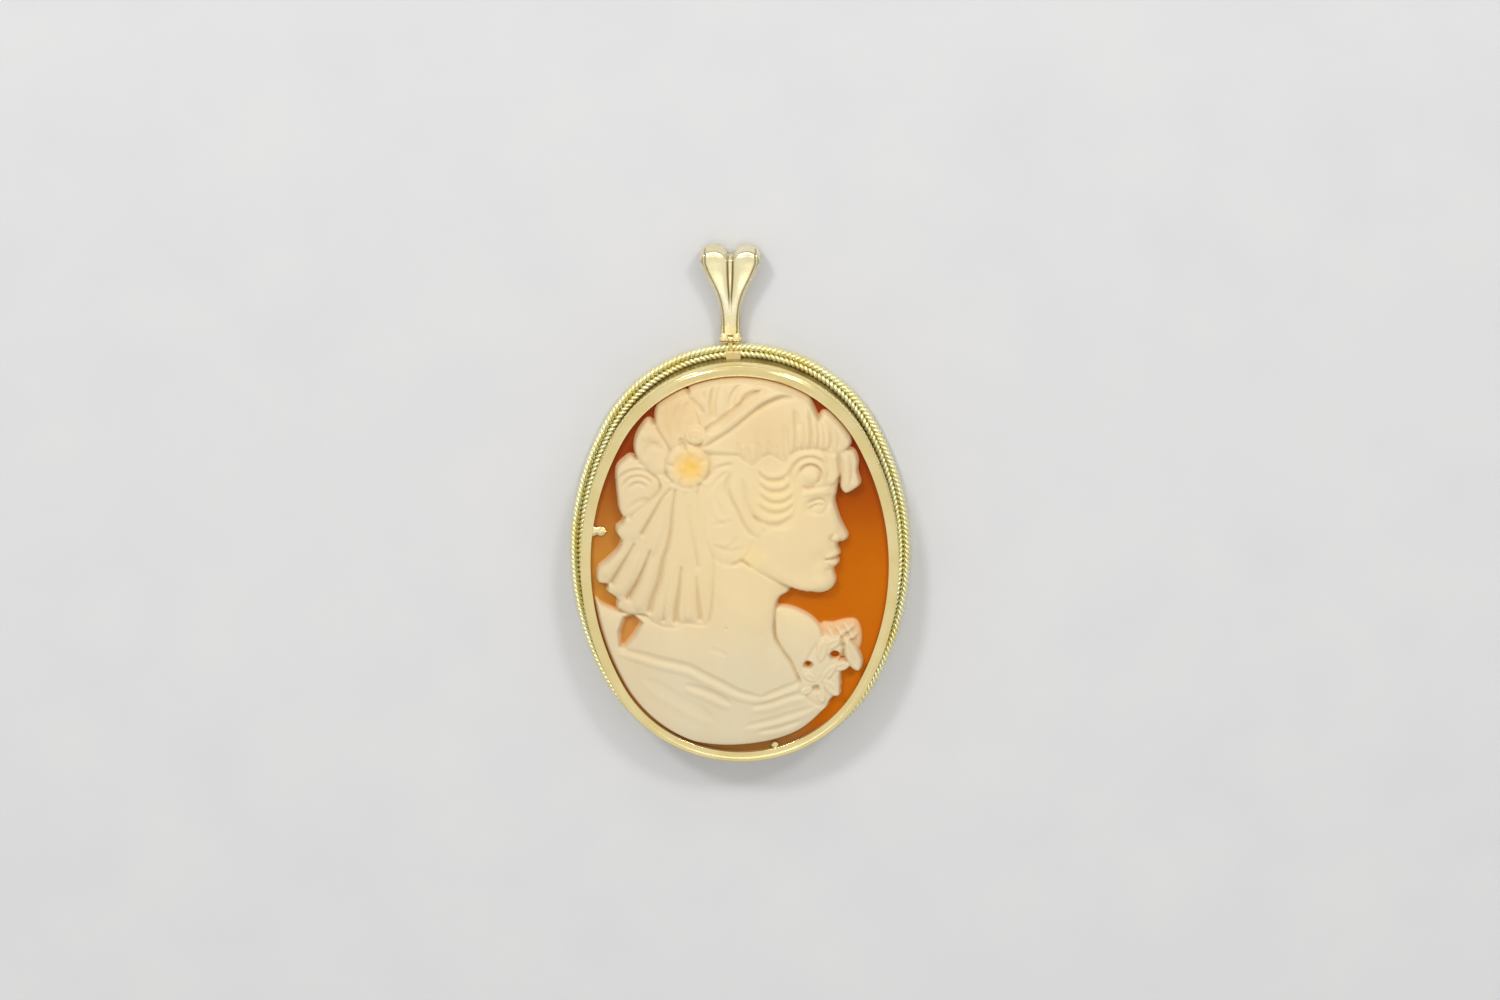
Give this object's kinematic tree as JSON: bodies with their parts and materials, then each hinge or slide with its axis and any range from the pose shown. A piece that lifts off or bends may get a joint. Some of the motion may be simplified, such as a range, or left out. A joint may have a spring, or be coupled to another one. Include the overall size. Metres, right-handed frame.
{
  "type": "cameo pendant",
  "caption": "Oval shell cameo with a carved profile bust in a polished gold bezel with a twisted wire border, hung from a folded two-lobed bail on a small hinge.",
  "frame": {"origin": "centre of the bounding box's underside, on the surface under the flange's flat back", "axes": "+Z out of the carved front, +Y from the oval towards the bail, +X to the right seen from the front"},
  "size_m": [0.0342, 0.0546, 0.0068],
  "materials": {
    "shell": "carved and softly polished two-layer shell, cream relief on an orange-brown ground",
    "gold": "polished pale yellow gold"
  },
  "bodies": {
    "pendant": {"cameo": "shell", "bezel": "gold"},
    "bail": {"bail": "gold", "hinge_pin": "gold"}
  },
  "joints": [
    {"name": "bail_hinge", "type": "hinge", "parent": "pendant", "child": "bail", "pos_m": [-0.001, 0.01742, 0.00098], "axis": [1, 0, 0], "range_deg": [-95, 80]}
  ]
}
